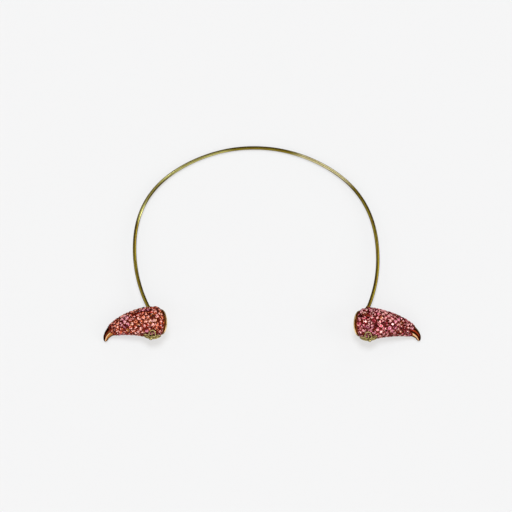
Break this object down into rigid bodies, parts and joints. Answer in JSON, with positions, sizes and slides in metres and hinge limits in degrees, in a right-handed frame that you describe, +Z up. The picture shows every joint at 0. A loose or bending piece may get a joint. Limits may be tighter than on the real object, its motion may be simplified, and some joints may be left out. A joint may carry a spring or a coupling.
{
  "type": "tiara",
  "caption": "Wire tiara lying flat: an open spring-wire loop whose ends are let into hollow curved horns pave-set with pink crystals, each with a bare gold tip and a flat base plate.",
  "frame": {"origin": "middle of the whole tiara in X and Y, on the surface it lies on", "axes": "+X towards the horn on the right of the picture, +Y towards the loop's crown, +Z up from the surface it lies on"},
  "size_m": [0.191, 0.1176, 0.0151],
  "materials": {
    "gold": "polished gold plate on brass",
    "pink_pave": "rose-gold plated casting set with pink crystals",
    "pink_crystal": "foiled pink cut crystal"
  },
  "bodies": {
    "root": {"band_wire": "gold", "horn_left": "pink_pave", "horn_right": "pink_pave", "base_plate_left": "gold", "base_plate_right": "gold", "leaf_sprig_left": "gold", "leaf_sprig_right": "gold"}
  },
  "joints": []
}
